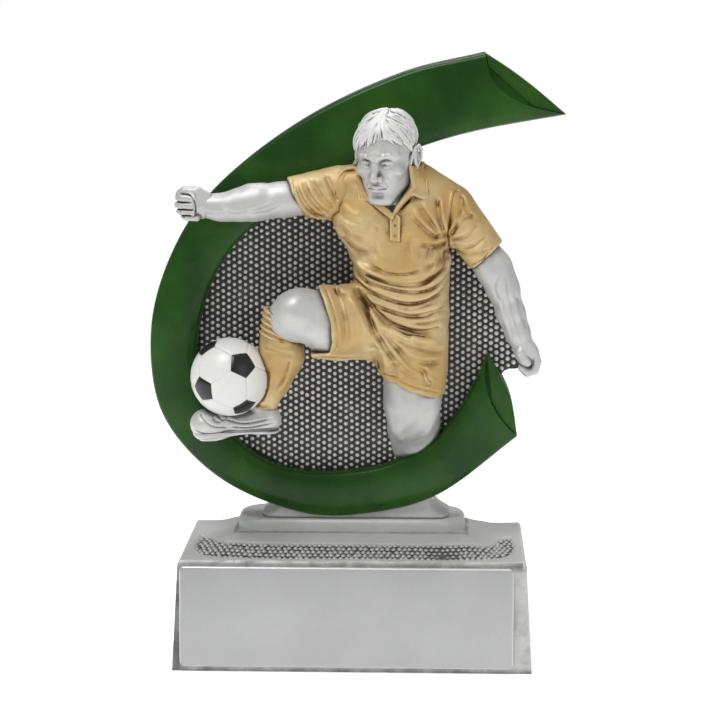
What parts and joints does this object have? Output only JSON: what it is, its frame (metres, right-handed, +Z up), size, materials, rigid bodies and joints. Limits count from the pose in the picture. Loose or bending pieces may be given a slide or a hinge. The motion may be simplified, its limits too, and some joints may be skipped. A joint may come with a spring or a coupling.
{
  "type": "figure trophy",
  "caption": "Cast award: a footballer in high relief lifts a ball on one boot before a C-shaped crescent and beaded disc, on a stepped plinth with a blank name panel.",
  "frame": {"origin": "centre of the plinth's underside, on the plane that it stands on", "axes": "+Z up, +Y from the name panel towards the back, +X to the viewer's right"},
  "size_m": [0.0963, 0.0464, 0.1394],
  "materials": {
    "crescent_green": "gloss dark green paint on cast resin",
    "disc_graphite": "graphite paint with silver-rubbed beads on cast resin",
    "pedestal_silver": "satin antique-silver paint on cast resin",
    "band_silver": "antique-silver paint with a dark wash between beads",
    "plinth_silver": "satin antique-silver paint on cast resin",
    "panel_silver": "smooth satin silver paint on cast resin",
    "felt_green": "thin dark felt",
    "ball_white": "hand-painted white with black pentagons",
    "skin_silver": "satin antique-silver paint on cast resin",
    "hair_silver": "antique-silver paint with a dark wash between strands",
    "kit_gold": "antique-gold paint with a brown wash in the folds",
    "boot_silver": "antique-silver paint on cast resin"
  },
  "bodies": {
    "root": {"base_plinth": "plinth_silver", "bead_band": "band_silver", "beaded_disc": "disc_graphite", "boot": "boot_silver", "boot_sole": "boot_silver", "button_lower": "kit_gold", "button_upper": "kit_gold", "crescent": "crescent_green", "felt_pad": "felt_green", "football": "ball_white", "hair": "hair_silver", "head": "skin_silver", "kicking_thigh": "skin_silver", "left_arm": "skin_silver", "left_collar": "kit_gold", "left_hand": "skin_silver", "left_sleeve": "kit_gold", "lower_end_cap": "crescent_green", "lower_step": "pedestal_silver", "name_panel": "panel_silver", "neck": "skin_silver", "right_arm": "skin_silver", "right_collar": "kit_gold", "right_fist": "skin_silver", "right_sleeve": "kit_gold", "shirt_body": "kit_gold", "shirt_placket": "kit_gold", "shorts": "kit_gold", "sock": "kit_gold", "sock_cuff": "kit_gold", "standing_thigh": "skin_silver", "upper_end_cap": "crescent_green", "upper_step": "pedestal_silver"}
  },
  "joints": []
}
